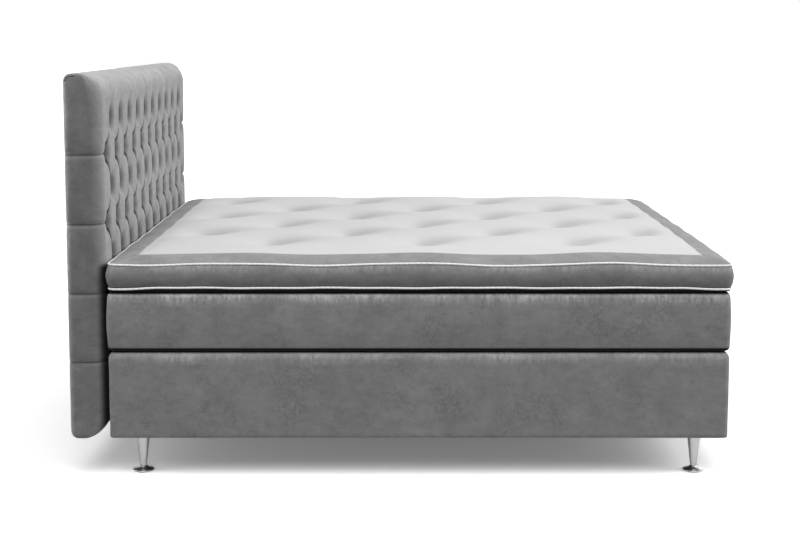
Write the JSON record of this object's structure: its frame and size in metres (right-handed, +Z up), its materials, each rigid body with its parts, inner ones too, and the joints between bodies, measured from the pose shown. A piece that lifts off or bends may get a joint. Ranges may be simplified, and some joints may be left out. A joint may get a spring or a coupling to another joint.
{
  "type": "box spring bed",
  "caption": "Upholstered box spring bed: sprung base on chrome cone legs, loose mattress, tufted topper with piped edges and a deep buttoned headboard.",
  "frame": {"origin": "on the floor, under the middle of the bed's overall box", "axes": "+X from the headboard to the foot end, +Y across the bed to the sleeper's right as seen from the foot, +Z up"},
  "size_m": [2.132, 1.81, 1.308],
  "materials": {
    "velvet": "matte",
    "white_ticking": "matte",
    "piping": "matte",
    "chrome": "polished",
    "zinc_steel": "satin",
    "black_plastic": "satin",
    "pine": "matte",
    "plywood": "matte",
    "foam": "matte",
    "spring_fleece": "matte",
    "backing_cloth": "matte"
  },
  "bodies": {
    "base": {"leg_head_left": "chrome", "foot_disc_head_left": "chrome", "glide_pad_head_left": "black_plastic", "leg_head_right": "chrome", "foot_disc_head_right": "chrome", "glide_pad_head_right": "black_plastic", "leg_foot_left": "chrome", "foot_disc_foot_left": "chrome", "glide_pad_foot_left": "black_plastic", "leg_foot_right": "chrome", "foot_disc_foot_right": "chrome", "glide_pad_foot_right": "black_plastic", "leg_centre_head": "black_plastic", "leg_centre_foot": "black_plastic", "threaded_insert_head_left": "zinc_steel", "threaded_insert_head_right": "zinc_steel", "threaded_insert_foot_left": "zinc_steel", "threaded_insert_foot_right": "zinc_steel", "threaded_insert_centre_head": "zinc_steel", "threaded_insert_centre_foot": "zinc_steel", "side_rail_left": "pine", "side_rail_right": "pine", "head_rail": "pine", "foot_rail": "pine", "centre_rail": "pine", "corner_block_head_left": "pine", "corner_block_head_right": "pine", "corner_block_foot_left": "pine", "corner_block_foot_right": "pine", "slat_deck": "pine", "base_spring_unit": "spring_fleece", "base_side_padding": "foam", "base_top_pad": "foam", "base_cover": "velvet", "base_top_panel": "white_ticking", "dust_cover": "backing_cloth", "headboard_cover": "velvet", "headboard_frame": "pine", "headboard_board": "plywood", "headboard_foam": "foam", "headboard_back_cloth": "backing_cloth", "headboard_bolt_left": "zinc_steel", "headboard_bolt_right": "zinc_steel"},
    "mattress": {"mattress_cover": "velvet", "mattress_top_panel": "white_ticking", "mattress_underside": "backing_cloth", "mattress_edge_foam": "foam", "mattress_top_foam": "foam", "mattress_spring_unit": "spring_fleece"},
    "topper": {"topper_core": "foam", "topper_underside": "white_ticking", "topper_side_band": "velvet", "topper_border": "velvet", "topper_panel": "white_ticking", "topper_piping_bottom": "piping", "topper_piping_top": "piping"}
  },
  "joints": [
    {"name": "mattress_lift", "type": "slide", "parent": "base", "child": "mattress", "axis": [0, 0, 1], "range_m": [0, 0.35]},
    {"name": "topper_lift", "type": "slide", "parent": "mattress", "child": "topper", "axis": [0, 0, 1], "range_m": [0, 0.35]}
  ]
}
